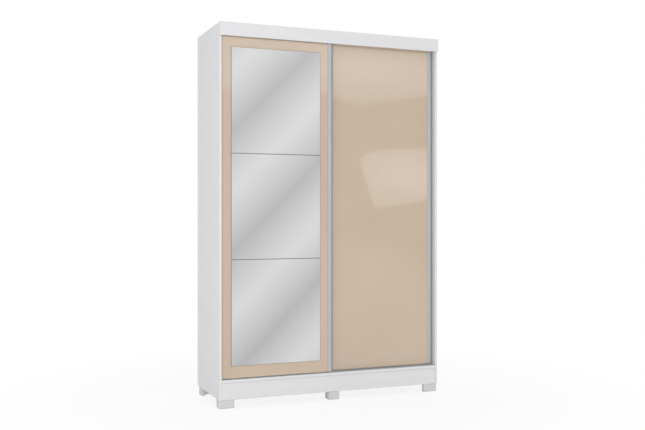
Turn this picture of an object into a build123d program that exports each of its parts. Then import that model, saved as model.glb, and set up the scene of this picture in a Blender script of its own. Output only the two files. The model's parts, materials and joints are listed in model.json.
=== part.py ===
from build123d import *
import math
import os

# A wardrobe with two sliding doors, in millimetres.
# +Z is up and the doors face -Y. The origin is on the floor, under the middle of the footprint.

# Overall size. The depth is that of the side panels; the cornice stands in front of them.
WIDTH = 1500.0
BODY_DEPTH = 540.0
HEIGHT = 2350.0

# Board thicknesses
SIDE_BOARD = 15.0
PARTITION_BOARD = 15.0
TOP_BOARD = 15.0
BASE_BOARD = 18.0
SHELF_BOARD = 15.0
PLINTH_BOARD = 15.0
BEARER_BOARD = 15.0
CORNICE_BOARD = 15.0
DOOR_BOARD = 15.0
BACK_BOARD = 3.0
ARRIS = 1.5

# Heights and setbacks of the carcass boards
FOOT_HEIGHT = 53.0
PLINTH_HEIGHT = 103.0
PLINTH_SETBACK = 3.0
REAR_PLINTH_INSET = 30.0
CORNICE_HEIGHT = 82.0
TOP_DROP = 30.0
REBATE = 8.0
STRIP_FLANGE = 1.0
STRIP_WEB = 1.2
STRIP_WIDTH = 24.0

# Feet: L-shaped at the corners, blocks in the middle
FOOT_WIDTH = 97.0
FOOT_DEPTH = 65.0
FOOT_LEG = 26.0
FOOT_SETBACK = 10.0
REAR_FOOT_INSET = 38.0
FOOT_ROUND = 6.0
FOOT_CHAMFER = 3.0
FOOT_SEAT = 12.0
FOOT_SCREW_PITCH = 32.0
MIDDLE_FOOT_WIDTH = 74.0
MIDDLE_FOOT_SHIFT = 7.0

# Sliding doors
DOOR_SETBACK = 4.0
DOOR_PITCH = 33.0
DOOR_SIDE_GAP = 2.0
DOOR_COVER = 10.0
DOOR_OVERLAP = 20.0
MEETING_SHIFT = 2.5

# Handle profile on the right edge of each door
HANDLE_FACE = 19.5
HANDLE_WALL = 1.5
GROOVE_WIDTH = 15.0
GROOVE_DEPTH = 12.0
GROOVE_LIP = 1.5
HANDLE_BACK_LIP = 10.0

# Mirror panes on the face of the left door
MIRROR_COUNT = 3
MIRROR_GLASS = 3.0
MIRROR_BEVEL = 1.0
MIRROR_SEAM = 2.5
MIRROR_EDGE_MARGIN = 58.5
MIRROR_HANDLE_MARGIN = 54.0
MIRROR_END_MARGIN = 74.0

# Lower track, rollers and their housings
TRACK_PLATE = 1.5
TRACK_MARGIN = 9.0
TRACK_LIP = 2.5
RAIL_WIDTH = 2.0
RAIL_HEIGHT = 4.2
RUN_GAP = 0.3
WHEEL_RADIUS = 10.0
WHEEL_FLANGE = 2.0
WHEEL_TAPER = 0.4
WHEEL_WIDTH = 6.2
WHEEL_PLAY = 0.3
AXLE_RADIUS = 2.0
AXLE_CLEARANCE = 0.05
AXLE_RISE = 7.0
HOUSING_WALL = 1.6
HOUSING_END = 3.0
HOUSING_ROOM = 2.0
ROLLER_INSET = 80.0

# Upper track and guide shoes
CHANNEL_WALL = 1.5
CHANNEL_GAP = 5.0
SHOE_LENGTH = 50.0
SHOE_WIDTH = 12.0
SHOE_PAD = 3.0
SHOE_ROUND = 4.0
SHOE_PLAY = 0.3
SHOE_HEADROOM = 3.0
SHOE_PEG_RADIUS = 4.0
SHOE_PEG_LENGTH = 22.0
SHOE_INSET = 60.0
BUMP_RADIUS = 4.0
BUMP_INSET = 100.0

# Shelves, their pins and the hanging rails
INTERIOR_GAP = 10.0
SHELF_SIDE_GAP = 0.5
HAT_SPACE = 355.0
SHOE_SPACE = 330.0
FOLDED_SPACE = 280.0
PIN_RADIUS = 2.5
PIN_REACH = 8.0
PIN_SKIN = 1.0
PIN_INSET = 50.0
HANG_RAIL_HEIGHT = 30.0
HANG_RAIL_WIDTH = 15.0
HANG_RAIL_WALL = 1.2
HANG_RAIL_DROP = 60.0
SOCKET_FLANGE = 3.0
SOCKET_BRIM = 8.0
SOCKET_COLLAR = 12.0
SOCKET_WALL = 2.0
SOCKET_PLAY = 0.2

# Cam locks and the bolts that they draw in
CAM_RADIUS = 7.5
CAM_PLAY = 0.1
CAM_SKIN = 3.0
CAM_SETBACK = 34.0
CAM_INSET = 88.0
CAM_SLOT_WIDTH = 1.6
CAM_SLOT_LENGTH = 8.0
CAM_SLOT_DEPTH = 2.0
BOLT_RADIUS = 3.0
BOLT_SKIN = 4.0

# Long screws for the feet and the partition, short ones for the tracks and brackets
SCREW_RADIUS = 2.0
SCREW_LENGTH = 40.0
SCREW_HEAD_RADIUS = 4.0
SCREW_HEAD = 2.5
SCREW_ACCESS = 1.5
SHORT_SCREW_RADIUS = 1.75
SHORT_SCREW_LENGTH = 12.0
SHORT_HEAD_RADIUS = 3.5
SHORT_HEAD = 2.2
TRACK_SCREW_INSET = 40.0
TRACK_SCREW_PITCH = 350.0

# Angle brackets behind the cornice, and the back nails
BRACKET_LEG = 24.0
BRACKET_WIDTH = 20.0
BRACKET_PLATE = 2.0
BRACKET_INSET = 120.0
BRACKET_PITCH = 460.0
NAIL_RADIUS = 0.8
NAIL_BITE = 12.0
NAIL_HEAD_RADIUS = 2.5
NAIL_HEAD = 0.8
NAIL_INSET = 30.0
NAIL_PITCH = 240.0

# Planes of the carcass
LEFT = -WIDTH / 2
RIGHT = WIDTH / 2
FRONT = (CORNICE_BOARD - BODY_DEPTH) / 2
BACK = FRONT + BODY_DEPTH
INNER_LEFT = LEFT + SIDE_BOARD
INNER_RIGHT = RIGHT - SIDE_BOARD
BACK_FACE = BACK - STRIP_FLANGE - BACK_BOARD
BASE_BOTTOM = FOOT_HEIGHT + PLINTH_HEIGHT
BASE_TOP = BASE_BOTTOM + BASE_BOARD
TOP_TOP = HEIGHT - TOP_DROP
TOP_BOTTOM = TOP_TOP - TOP_BOARD
PLINTH_FRONT = FRONT + PLINTH_SETBACK
PLINTH_BACK = PLINTH_FRONT + PLINTH_BOARD
REAR_PLINTH_BACK = BACK - REAR_PLINTH_INSET
REAR_PLINTH_FRONT = REAR_PLINTH_BACK - PLINTH_BOARD

# Planes of the doors and of the tracks under and over them
FRONT_FACE = FRONT + DOOR_SETBACK
REAR_FACE = FRONT_FACE + DOOR_PITCH
FRONT_LANE = FRONT_FACE + DOOR_BOARD / 2
REAR_LANE = REAR_FACE + DOOR_BOARD / 2
MID_LANE = (FRONT_LANE + REAR_LANE) / 2
RAIL_TOP = BASE_TOP + TRACK_PLATE + RAIL_HEIGHT
WHEEL_OUTER = WHEEL_RADIUS + WHEEL_FLANGE
WHEEL_Z = RAIL_TOP + RUN_GAP + WHEEL_RADIUS
DOOR_BOTTOM = WHEEL_Z - AXLE_RISE
DOOR_TOP = HEIGHT - CORNICE_HEIGHT + DOOR_COVER
CHANNEL_BOTTOM = DOOR_TOP + CHANNEL_GAP
CHANNEL_ROOF = TOP_BOTTOM - CHANNEL_WALL
CHANNEL_HALF = SHOE_WIDTH / 2 + SHOE_PLAY
HANDLE_DEPTH = DOOR_BOARD + 2 * HANDLE_WALL
HANDLE_WIDTH = HANDLE_FACE + GROOVE_WIDTH + HANDLE_WALL
HANDLE_EDGE = 2 * HANDLE_WALL + GROOVE_WIDTH
HOUSING_WIDTH = WHEEL_WIDTH + 2 * (WHEEL_PLAY + HOUSING_WALL)
HOUSING_CAVITY = WHEEL_OUTER + HOUSING_ROOM
HOUSING_REACH = HOUSING_CAVITY + HOUSING_END
INTERIOR_FRONT = REAR_FACE + DOOR_BOARD + HANDLE_WALL + INTERIOR_GAP

# Left edge, right edge and front face of each door
MEETING_EDGE = -MEETING_SHIFT
DOORS = {
    "left_door": (INNER_LEFT + DOOR_SIDE_GAP, MEETING_EDGE, FRONT_FACE),
    "right_door": (MEETING_EDGE - DOOR_OVERLAP, INNER_RIGHT - DOOR_SIDE_GAP, REAR_FACE),
}

# Left and right wall of each bay, and the underside of each shelf in it
PARTITION_HALF = PARTITION_BOARD / 2
BAYS = {
    "left": (INNER_LEFT, -PARTITION_HALF),
    "right": (PARTITION_HALF, INNER_RIGHT),
}
HAT_SHELF = TOP_BOTTOM - HAT_SPACE - SHELF_BOARD
SHELF_STEP = FOLDED_SPACE + SHELF_BOARD
SHELVES = {
    "left_hat_shelf": ("left", HAT_SHELF),
    "left_shoe_shelf": ("left", BASE_TOP + SHOE_SPACE),
    "right_hat_shelf": ("right", HAT_SHELF),
    "right_upper_shelf": ("right", BASE_TOP + FOLDED_SPACE + 2 * SHELF_STEP),
    "right_middle_shelf": ("right", BASE_TOP + FOLDED_SPACE + SHELF_STEP),
    "right_lower_shelf": ("right", BASE_TOP + FOLDED_SPACE),
}
PIN_SEAT = PARTITION_HALF - PIN_SKIN
PIN_PLACES = (INTERIOR_FRONT + PIN_INSET, BACK_FACE - PIN_INSET)
CAM_PLACES = (INTERIOR_FRONT + CAM_INSET, BACK_FACE - CAM_INSET)

SEATED = (Align.CENTER, Align.CENTER, Align.MAX)
STANDING = (Align.CENTER, Align.CENTER, Align.MIN)

os.makedirs("parts", exist_ok=True)


def save(piece, name):
    """Label a finished piece and write its file."""
    piece.part.label = name
    export_step(piece.part, f"parts/{name}.step")


def block(x, y, z, mode=Mode.ADD):
    """Put a block between two values on each axis into the part that is being built."""
    with Locations((sum(x) / 2, sum(y) / 2, sum(z) / 2)):
        Box(abs(x[1] - x[0]), y[1] - y[0], z[1] - z[0], mode=mode)


def facing(points, direction):
    """Planes at the points, each looking along the direction."""
    return [Plane(origin=point, z_dir=direction) for point in points]


def spread(start, end, pitch):
    """Evenly spaced places from start to end, no further apart than the pitch."""
    steps = max(1, math.ceil((end - start) / pitch))
    return [start + (end - start) * step / steps for step in range(steps + 1)]


def shelf_pin_points(bay, wall):
    """Where the pins of a bay's shelves stand on one of its two walls."""
    return [
        (BAYS[bay][wall], place, underside - PIN_RADIUS)
        for shelf_bay, underside in SHELVES.values()
        if shelf_bay == bay
        for place in PIN_PLACES
    ]


# Fastening points shared by the boards that are drilled and the fasteners that fill them
def bolt_points(side):
    """Where the cam bolts enter the inner face of a side panel."""
    inner = side * (WIDTH / 2 - SIDE_BOARD)
    rows = [(place, BASE_BOTTOM + BASE_BOARD / 2) for place in CAM_PLACES]
    rows += [(place, TOP_BOTTOM + TOP_BOARD / 2) for place in CAM_PLACES]
    plinths = (PLINTH_FRONT, REAR_PLINTH_FRONT)
    rows += [(front + PLINTH_BOARD / 2, FOOT_HEIGHT + PLINTH_HEIGHT / 2) for front in plinths]
    return [(inner, y, z) for y, z in rows]


def foot_screw_places(corner, direction):
    """Depths of the two screws of a foot that starts at the corner and runs in the direction."""
    middle = corner + direction * FOOT_DEPTH / 2
    return (middle - FOOT_SCREW_PITCH / 2, middle + FOOT_SCREW_PITCH / 2)


FOOT_ROWS = {
    "front": (FRONT + FOOT_SETBACK, 1),
    "rear": (BACK - REAR_FOOT_INSET, -1),
}
FOOT_SCREW_PLACES = [
    place for corner, direction in FOOT_ROWS.values() for place in foot_screw_places(corner, direction)
]
FOOT_COLUMNS = {
    "left": LEFT + SIDE_BOARD / 2,
    "middle": 0.0,
    "right": RIGHT - SIDE_BOARD / 2,
}
SIDE_NAIL_HEIGHTS = spread(BASE_TOP + NAIL_INSET, TOP_BOTTOM - NAIL_INSET, NAIL_PITCH)
LEFT_NAIL_ROW = spread(INNER_LEFT + NAIL_INSET, -STRIP_WIDTH / 2 - NAIL_INSET, NAIL_PITCH)
NAIL_ROW = LEFT_NAIL_ROW + [-x for x in LEFT_NAIL_ROW]
BASE_NAILS = [(x, BASE_BOTTOM + BASE_BOARD / 2) for x in NAIL_ROW]
TOP_NAILS = [(x, TOP_BOTTOM + TOP_BOARD / 2) for x in NAIL_ROW]
BRACKET_PLACES = spread(INNER_LEFT + BRACKET_INSET, INNER_RIGHT - BRACKET_INSET, BRACKET_PITCH)
BRACKET_HOLE = (BRACKET_LEG + BRACKET_PLATE) / 2
BRACKET_SCREWS_FORWARD = [(x, FRONT + BRACKET_PLATE, TOP_TOP + BRACKET_HOLE) for x in BRACKET_PLACES]
BRACKET_SCREWS_DOWN = [(x, FRONT + BRACKET_HOLE, TOP_TOP + BRACKET_PLATE) for x in BRACKET_PLACES]
RIGHT_TRACK_SCREWS = spread(0, INNER_RIGHT - TRACK_SCREW_INSET, TRACK_SCREW_PITCH)
TRACK_SCREWS = [-x for x in RIGHT_TRACK_SCREWS[1:]] + RIGHT_TRACK_SCREWS


def side_nails(side):
    """Where the back nails enter the rebate of a side panel."""
    x = side * (WIDTH / 2 - SIDE_BOARD + REBATE / 2)
    return [(x, z) for z in SIDE_NAIL_HEIGHTS]


def nail_planes(nails, y):
    """Planes that look out of the back at the nails' places."""
    return facing([(x, y, z) for x, z in nails], (0, 1, 0))


# Side panels, with a stopped rebate for the back boards along the inner rear edge
for side, hand in ((-1, "left"), (1, "right")):
    outer = side * WIDTH / 2
    inner = side * (WIDTH / 2 - SIDE_BOARD)
    inward = (-side, 0, 0)
    wall = 0 if side < 0 else 1
    with BuildPart() as side_panel:
        block((outer, inner), (FRONT, BACK), (FOOT_HEIGHT, HEIGHT))
        chamfer(side_panel.edges().filter_by(Axis.Z), ARRIS)
        block((inner, inner + side * REBATE), (BACK_FACE, BACK), (BASE_BOTTOM, TOP_TOP), Mode.SUBTRACT)
        with Locations(*facing(shelf_pin_points(hand, wall), inward)):
            Hole(PIN_RADIUS, PIN_SEAT)
        with Locations(*facing(bolt_points(side), inward)):
            Hole(BOLT_RADIUS, SIDE_BOARD - BOLT_SKIN)
        with Locations(*nail_planes(side_nails(side), BACK_FACE)):
            Hole(NAIL_RADIUS, NAIL_BITE)
        points = [(FOOT_COLUMNS[hand], y, FOOT_HEIGHT) for y in FOOT_SCREW_PLACES]
        with Locations(*facing(points, (0, 0, -1))):
            Hole(SCREW_RADIUS, SCREW_LENGTH - FOOT_SEAT)
    save(side_panel, f"{hand}_side_panel")

# Base and top panels between the sides. Each has cam pockets from below, screws into the partition
# from its far side, and a track on the side that faces the doors.
PANELS = {
    "base_panel": (BASE_BOTTOM, BASE_BOARD, -1, BASE_NAILS, TRACK_PLATE, []),
    "top_panel": (TOP_BOTTOM, TOP_BOARD, 1, TOP_NAILS, CHANNEL_WALL, BRACKET_SCREWS_DOWN),
}
for name, (bottom, board, away, nails, track_plate, bracket_screws_down) in PANELS.items():
    middle = bottom + board / 2
    screw_face = middle + away * board / 2
    track_face = middle - away * board / 2
    with BuildPart() as panel:
        block((INNER_LEFT, INNER_RIGHT), (FRONT, BACK_FACE), (bottom, bottom + board))
        chamfer(panel.edges().filter_by(Axis.X).group_by(Axis.Y)[0], ARRIS)
        for side in (-1, 1):
            end = side * INNER_RIGHT
            cams = [(end - side * CAM_SETBACK, y, bottom) for y in CAM_PLACES]
            with Locations(*facing(cams, (0, 0, -1))):
                Hole(CAM_RADIUS, board - CAM_SKIN)
            bolts = [(end, y, middle) for y in CAM_PLACES]
            with Locations(*facing(bolts, (side, 0, 0))):
                Hole(BOLT_RADIUS, CAM_SETBACK)
        screws = [(0, y, screw_face) for y in CAM_PLACES]
        with Locations(*facing(screws, (0, 0, away))):
            CounterBoreHole(SCREW_RADIUS, SCREW_HEAD_RADIUS, SCREW_HEAD, board)
        with Locations(*nail_planes(nails, BACK_FACE)):
            Hole(NAIL_RADIUS, NAIL_BITE)
        track_holes = [(x, MID_LANE, track_face) for x in TRACK_SCREWS]
        with Locations(*facing(track_holes, (0, 0, -away))):
            Hole(SHORT_SCREW_RADIUS, SHORT_SCREW_LENGTH - track_plate)
        for x, y, z in bracket_screws_down:
            with Locations((x, y, z - BRACKET_PLATE)):
                Hole(SHORT_SCREW_RADIUS, SHORT_SCREW_LENGTH - BRACKET_PLATE)
    save(panel, name)

# Partition between the two bays, standing behind the rear door
with BuildPart() as centre_partition:
    block((-PARTITION_HALF, PARTITION_HALF), (INTERIOR_FRONT, BACK_FACE), (BASE_TOP, TOP_BOTTOM))
    chamfer(centre_partition.edges().filter_by(Axis.Z).group_by(Axis.Y)[0], ARRIS)
    with Locations(*facing(shelf_pin_points("left", 1), (-1, 0, 0))):
        Hole(PIN_RADIUS, PIN_SEAT)
    with Locations(*facing(shelf_pin_points("right", 0), (1, 0, 0))):
        Hole(PIN_RADIUS, PIN_SEAT)
    for away, end, board in ((-1, BASE_TOP, BASE_BOARD), (1, TOP_BOTTOM, TOP_BOARD)):
        points = [(0, y, end) for y in CAM_PLACES]
        with Locations(*facing(points, (0, 0, away))):
            Hole(SCREW_RADIUS, SCREW_LENGTH - (board - SCREW_HEAD))
save(centre_partition, "centre_partition")

# Plinths between the sides, with a cam pocket near each end of the hidden face
PLINTHS = {
    "front_plinth": (PLINTH_FRONT, 1),
    "rear_plinth": (REAR_PLINTH_FRONT, -1),
}
for name, (front, hidden) in PLINTHS.items():
    middle = front + PLINTH_BOARD / 2
    hidden_face = middle + hidden * PLINTH_BOARD / 2
    half_height = FOOT_HEIGHT + PLINTH_HEIGHT / 2
    with BuildPart() as plinth:
        block((INNER_LEFT, INNER_RIGHT), (front, front + PLINTH_BOARD), (FOOT_HEIGHT, BASE_BOTTOM))
        chamfer(plinth.edges().filter_by(Axis.X), ARRIS)
        for side in (-1, 1):
            end = side * INNER_RIGHT
            with Locations(*facing([(end - side * CAM_SETBACK, hidden_face, half_height)], (0, hidden, 0))):
                Hole(CAM_RADIUS, PLINTH_BOARD - CAM_SKIN)
            with Locations(*facing([(end, middle, half_height)], (side, 0, 0))):
                Hole(BOLT_RADIUS, CAM_SETBACK)
    save(plinth, name)

# Bearer on edge under the base panel, from plinth to plinth
with BuildPart() as centre_bearer:
    bearer_half = BEARER_BOARD / 2
    block((-bearer_half, bearer_half), (PLINTH_BACK, REAR_PLINTH_FRONT), (FOOT_HEIGHT, BASE_BOTTOM))
    with Locations(*facing([(0, y, FOOT_HEIGHT) for y in FOOT_SCREW_PLACES], (0, 0, -1))):
        Hole(SCREW_RADIUS, SCREW_LENGTH - FOOT_SEAT)
save(centre_bearer, "centre_bearer")

# Cornice across the front of both side panels
with BuildPart() as cornice:
    block((LEFT, RIGHT), (FRONT - CORNICE_BOARD, FRONT), (HEIGHT - CORNICE_HEIGHT, HEIGHT))
    chamfer(cornice.faces().sort_by(Axis.Y)[0].edges(), ARRIS)
    points = [(x, FRONT, z) for x, y, z in BRACKET_SCREWS_FORWARD]
    with Locations(*facing(points, (0, 1, 0))):
        Hole(SHORT_SCREW_RADIUS, SHORT_SCREW_LENGTH - BRACKET_PLATE)
save(cornice, "cornice")

# Back boards in the rebates, and the strip that covers their joint behind the partition
for side, hand in ((-1, "left"), (1, "right")):
    outer = side * (WIDTH / 2 - SIDE_BOARD + REBATE)
    joint = side * STRIP_WEB / 2
    nails = side_nails(side) + [nail for nail in BASE_NAILS + TOP_NAILS if nail[0] * side > 0]
    with BuildPart() as back_board:
        block((outer, joint), (BACK_FACE, BACK - STRIP_FLANGE), (BASE_BOTTOM, TOP_TOP))
        with Locations(*nail_planes(nails, BACK - STRIP_FLANGE)):
            Hole(NAIL_RADIUS, BACK_BOARD)
    save(back_board, f"{hand}_back_board")

with BuildPart() as back_joint_strip:
    block((-STRIP_WIDTH / 2, STRIP_WIDTH / 2), (BACK - STRIP_FLANGE, BACK), (BASE_BOTTOM, TOP_TOP))
    block((-STRIP_WEB / 2, STRIP_WEB / 2), (BACK_FACE, BACK - STRIP_FLANGE), (BASE_BOTTOM, TOP_TOP))
save(back_joint_strip, "back_joint_strip")

with BuildPart() as back_nails:
    all_nails = side_nails(-1) + side_nails(1) + BASE_NAILS + TOP_NAILS
    with Locations(*nail_planes(all_nails, BACK - STRIP_FLANGE)):
        Cylinder(NAIL_RADIUS, BACK_BOARD + NAIL_BITE, align=SEATED)
        Cylinder(NAIL_HEAD_RADIUS, NAIL_HEAD, align=STANDING)
save(back_nails, "back_nails")

# Shelves on four pins each
for name, (bay, underside) in SHELVES.items():
    left, right = BAYS[bay]
    with BuildPart() as shelf:
        ends = (left + SHELF_SIDE_GAP, right - SHELF_SIDE_GAP)
        block(ends, (INTERIOR_FRONT, BACK_FACE), (underside, underside + SHELF_BOARD))
        chamfer(shelf.edges().filter_by(Axis.X).group_by(Axis.Y)[0], ARRIS)
    save(shelf, name)

with BuildPart() as shelf_pins:
    for bay in BAYS:
        for wall, inward in ((0, (1, 0, 0)), (1, (-1, 0, 0))):
            with Locations(*facing(shelf_pin_points(bay, wall), inward)):
                Cylinder(PIN_RADIUS, PIN_SEAT, align=SEATED)
                Cylinder(PIN_RADIUS, PIN_REACH, align=STANDING)
save(shelf_pins, "shelf_pins")

# Hanging rails: oval tubes on edge, with a collared socket at each end
HANG_RAIL_Y = (INTERIOR_FRONT + BACK_FACE) / 2
HANG_RAIL_Z = HAT_SHELF - HANG_RAIL_DROP
for bay, (left, right) in BAYS.items():
    with BuildPart() as hanging_rail:
        tube_start = Plane((left + SOCKET_FLANGE, HANG_RAIL_Y, HANG_RAIL_Z), x_dir=(0, 0, 1), z_dir=(1, 0, 0))
        with BuildSketch(tube_start):
            SlotOverall(HANG_RAIL_HEIGHT, HANG_RAIL_WIDTH)
            bore = (HANG_RAIL_HEIGHT - 2 * HANG_RAIL_WALL, HANG_RAIL_WIDTH - 2 * HANG_RAIL_WALL)
            SlotOverall(*bore, mode=Mode.SUBTRACT)
        extrude(amount=right - left - 2 * SOCKET_FLANGE)
    save(hanging_rail, f"{bay}_hanging_rail")

with BuildPart() as rail_sockets:
    seat = (HANG_RAIL_HEIGHT + 2 * SOCKET_PLAY, HANG_RAIL_WIDTH + 2 * SOCKET_PLAY)
    collar = (seat[0] + 2 * SOCKET_WALL, seat[1] + 2 * SOCKET_WALL)
    brim = (collar[0] + 2 * SOCKET_BRIM, collar[1] + 2 * SOCKET_BRIM)
    for walls in BAYS.values():
        for x, inward in zip(walls, (1, -1)):
            wall_plane = Plane((x, HANG_RAIL_Y, HANG_RAIL_Z), x_dir=(0, 0, 1), z_dir=(inward, 0, 0))
            with BuildSketch(wall_plane):
                SlotOverall(*brim)
            extrude(amount=SOCKET_FLANGE)
            with BuildSketch(wall_plane.offset(SOCKET_FLANGE)):
                SlotOverall(*collar)
                SlotOverall(*seat, mode=Mode.SUBTRACT)
            extrude(amount=SOCKET_COLLAR)
save(rail_sockets, "rail_sockets")

# Feet: the corner ones turn round under the side panel and the plinth
for row, (corner_y, along) in FOOT_ROWS.items():
    for hand, screw_x in FOOT_COLUMNS.items():
        across = {"left": 1, "middle": 0, "right": -1}[hand]
        screws = [(screw_x, y, 0) for y in foot_screw_places(corner_y, along)]
        with BuildPart() as foot:
            with BuildSketch():
                if across:
                    corner_x = -across * WIDTH / 2
                    with BuildLine():
                        Polyline(
                            (corner_x, corner_y),
                            (corner_x + across * FOOT_WIDTH, corner_y),
                            (corner_x + across * FOOT_WIDTH, corner_y + along * FOOT_LEG),
                            (corner_x + across * FOOT_LEG, corner_y + along * FOOT_LEG),
                            (corner_x + across * FOOT_LEG, corner_y + along * FOOT_DEPTH),
                            (corner_x, corner_y + along * FOOT_DEPTH),
                            close=True,
                        )
                    make_face()
                else:
                    with Locations((MIDDLE_FOOT_SHIFT, corner_y + along * FOOT_DEPTH / 2)):
                        Rectangle(MIDDLE_FOOT_WIDTH, FOOT_DEPTH)
            extrude(amount=FOOT_HEIGHT)
            fillet(foot.edges().filter_by(Axis.Z), FOOT_ROUND)
            chamfer(foot.faces().filter_by(Axis.Z).edges(), FOOT_CHAMFER)
            with Locations(*facing(screws, (0, 0, -1))):
                access = SCREW_HEAD_RADIUS + SCREW_ACCESS
                CounterBoreHole(SCREW_RADIUS, access, FOOT_HEIGHT - FOOT_SEAT, FOOT_HEIGHT)
        save(foot, f"{row}_{hand}_foot")

# Long screws: up through the feet, and through the base and top panels into the partition
with BuildPart() as carcass_screws:
    foot_points = [(x, y, FOOT_HEIGHT - FOOT_SEAT) for x in FOOT_COLUMNS.values() for y in FOOT_SCREW_PLACES]
    base_points = [(0, y, BASE_BOTTOM + SCREW_HEAD) for y in CAM_PLACES]
    top_points = [(0, y, TOP_TOP - SCREW_HEAD) for y in CAM_PLACES]
    with Locations(*facing(foot_points + base_points, (0, 0, -1)), *facing(top_points, (0, 0, 1))):
        Cylinder(SCREW_RADIUS, SCREW_LENGTH, align=SEATED)
        Cylinder(SCREW_HEAD_RADIUS, SCREW_HEAD, align=STANDING)
save(carcass_screws, "carcass_screws")

# Cam locks, slotted for a screwdriver, and their bolts
with BuildPart() as cam_locks:
    for side in (-1, 1):
        x = side * (INNER_RIGHT - CAM_SETBACK)
        groups = (
            ([(x, y, BASE_BOTTOM) for y in CAM_PLACES], (0, 0, -1), BASE_BOARD),
            ([(x, y, TOP_BOTTOM) for y in CAM_PLACES], (0, 0, -1), TOP_BOARD),
            ([(x, PLINTH_BACK, FOOT_HEIGHT + PLINTH_HEIGHT / 2)], (0, 1, 0), PLINTH_BOARD),
            ([(x, REAR_PLINTH_FRONT, FOOT_HEIGHT + PLINTH_HEIGHT / 2)], (0, -1, 0), PLINTH_BOARD),
        )
        for points, outward, board in groups:
            with Locations(*facing(points, outward)):
                Cylinder(CAM_RADIUS - CAM_PLAY, board - CAM_SKIN, align=SEATED)
                Box(CAM_SLOT_LENGTH, CAM_SLOT_WIDTH, CAM_SLOT_DEPTH, align=SEATED, mode=Mode.SUBTRACT)
                Box(CAM_SLOT_WIDTH, CAM_SLOT_LENGTH, CAM_SLOT_DEPTH, align=SEATED, mode=Mode.SUBTRACT)
save(cam_locks, "cam_locks")

with BuildPart() as cam_bolts:
    for side in (-1, 1):
        with Locations(*facing(bolt_points(side), (-side, 0, 0))):
            Cylinder(BOLT_RADIUS, SIDE_BOARD - BOLT_SKIN, align=SEATED)
            Cylinder(BOLT_RADIUS, CAM_SETBACK - CAM_RADIUS, align=STANDING)
save(cam_bolts, "cam_bolts")

# Angle brackets that hold the cornice to the top panel
with BuildPart() as cornice_brackets:
    for x in BRACKET_PLACES:
        width = (x - BRACKET_WIDTH / 2, x + BRACKET_WIDTH / 2)
        block(width, (FRONT, FRONT + BRACKET_LEG), (TOP_TOP, TOP_TOP + BRACKET_PLATE))
        block(width, (FRONT, FRONT + BRACKET_PLATE), (TOP_TOP, TOP_TOP + BRACKET_LEG))
    with Locations(*facing(BRACKET_SCREWS_FORWARD, (0, 1, 0)), *facing(BRACKET_SCREWS_DOWN, (0, 0, 1))):
        Hole(SHORT_SCREW_RADIUS, BRACKET_PLATE)
save(cornice_brackets, "cornice_brackets")

with BuildPart() as bracket_screws:
    with Locations(*facing(BRACKET_SCREWS_FORWARD, (0, 1, 0)), *facing(BRACKET_SCREWS_DOWN, (0, 0, 1))):
        Cylinder(SHORT_SCREW_RADIUS, SHORT_SCREW_LENGTH, align=SEATED)
        Cylinder(SHORT_HEAD_RADIUS, SHORT_HEAD, align=STANDING)
save(bracket_screws, "bracket_screws")

# Lower track: a plate with a rail for each door and a low lip along both edges
TRACK_ENDS = (INNER_LEFT, INNER_RIGHT)
TRACK_EDGES = (FRONT_LANE - TRACK_MARGIN, REAR_LANE + TRACK_MARGIN)
LOWER_SCREWS = facing([(x, MID_LANE, BASE_TOP + TRACK_PLATE) for x in TRACK_SCREWS], (0, 0, 1))
with BuildPart() as lower_track:
    block(TRACK_ENDS, TRACK_EDGES, (BASE_TOP, BASE_TOP + TRACK_PLATE))
    for lane in (FRONT_LANE, REAR_LANE):
        block(TRACK_ENDS, (lane - RAIL_WIDTH / 2, lane + RAIL_WIDTH / 2), (BASE_TOP, RAIL_TOP))
    for edge, inward in zip(TRACK_EDGES, (1, -1)):
        lip = sorted((edge, edge + inward * TRACK_PLATE))
        block(TRACK_ENDS, lip, (BASE_TOP, BASE_TOP + TRACK_LIP))
    with Locations(*LOWER_SCREWS):
        Hole(SHORT_SCREW_RADIUS, TRACK_PLATE)
save(lower_track, "lower_track")

# Upper track: a plate under the top panel with a channel over each door
UPPER_SCREWS = facing([(x, MID_LANE, CHANNEL_ROOF) for x in TRACK_SCREWS], (0, 0, -1))
CHANNEL_EDGE = CHANNEL_HALF + CHANNEL_WALL
with BuildPart() as upper_track:
    block(TRACK_ENDS, (FRONT_LANE - CHANNEL_EDGE, REAR_LANE + CHANNEL_EDGE), (CHANNEL_ROOF, TOP_BOTTOM))
    for lane in (FRONT_LANE, REAR_LANE):
        for wall in ((-CHANNEL_EDGE, -CHANNEL_HALF), (CHANNEL_HALF, CHANNEL_EDGE)):
            block(TRACK_ENDS, (lane + wall[0], lane + wall[1]), (CHANNEL_BOTTOM, CHANNEL_ROOF))
    with Locations(*UPPER_SCREWS):
        Hole(SHORT_SCREW_RADIUS, CHANNEL_WALL)
save(upper_track, "upper_track")

with BuildPart() as track_screws:
    with Locations(*LOWER_SCREWS, *UPPER_SCREWS):
        Cylinder(SHORT_SCREW_RADIUS, SHORT_SCREW_LENGTH, align=SEATED)
        Cylinder(SHORT_HEAD_RADIUS, SHORT_HEAD, align=STANDING)
save(track_screws, "track_screws")

# Rubber stops on the side panels, in line with the edges of both doors
with BuildPart() as bump_stops:
    heights = (DOOR_BOTTOM + BUMP_INSET, DOOR_TOP - BUMP_INSET)
    for x, inward in ((INNER_LEFT, 1), (INNER_RIGHT, -1)):
        points = [(x, lane, z) for lane in (FRONT_LANE, REAR_LANE) for z in heights]
        with Locations(*facing(points, (inward, 0, 0))):
            Cylinder(BUMP_RADIUS, DOOR_SIDE_GAP - RUN_GAP, align=STANDING)
save(bump_stops, "bump_stops")

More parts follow.
